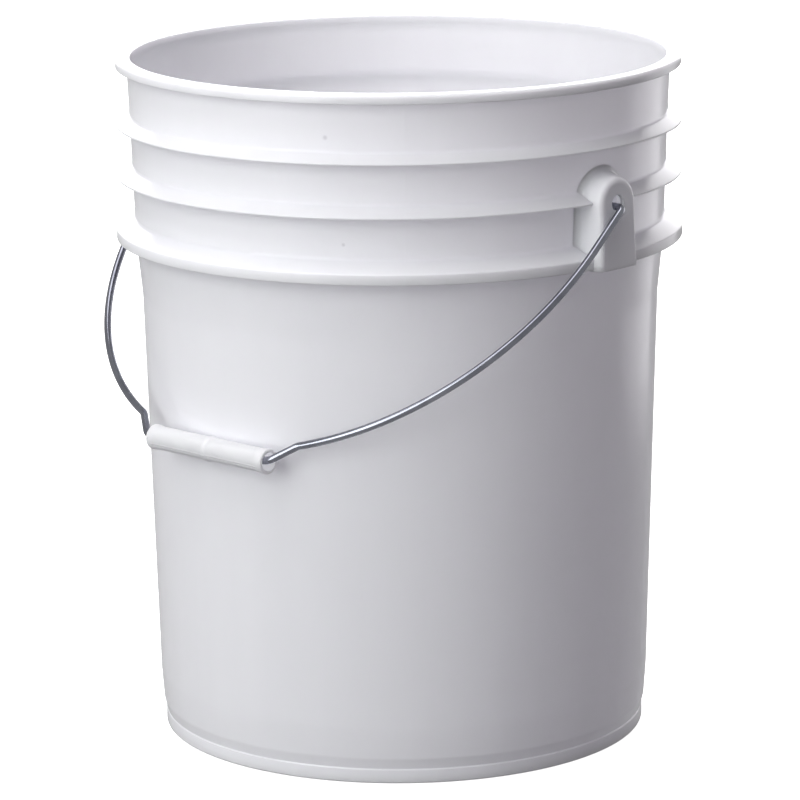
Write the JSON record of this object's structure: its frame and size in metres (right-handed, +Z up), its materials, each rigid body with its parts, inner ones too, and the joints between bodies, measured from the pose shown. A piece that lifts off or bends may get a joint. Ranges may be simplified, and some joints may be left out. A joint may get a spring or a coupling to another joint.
{
  "type": "fermenting bucket",
  "caption": "Tall tapered plastic fermenting bucket with a turned rim, stiffening ribs, moulded ears and a swinging wire bail that carries a loose tube grip.",
  "frame": {"origin": "centre of the circle that the foot ring stands on", "axes": "+Z up along the bucket's axis, out of the mouth; +X through one ear, along the bail's hinge axis; -Y is the side the bail hangs on at rest"},
  "size_m": [0.326, 0.304, 0.3665],
  "materials": {
    "bucket": "satin white moulded polyethylene",
    "bail": "bright zinc-plated round wire",
    "grip": "satin white moulded plastic"
  },
  "bodies": {
    "bucket": {"bucket": "bucket"},
    "bail": {"bail": "bail"},
    "grip": {"grip": "grip"}
  },
  "joints": [
    {"name": "bail_hinge", "type": "hinge", "parent": "bucket", "child": "bail", "pos_m": [0, 0, 0.3008], "axis": [-1, 0, 0], "range_deg": [0, 262.4]},
    {"name": "grip_spin", "type": "hinge", "parent": "bail", "child": "grip", "pos_m": [0, -0.14409, 0.17466], "axis": [1, 0, 0], "continuous": true}
  ]
}
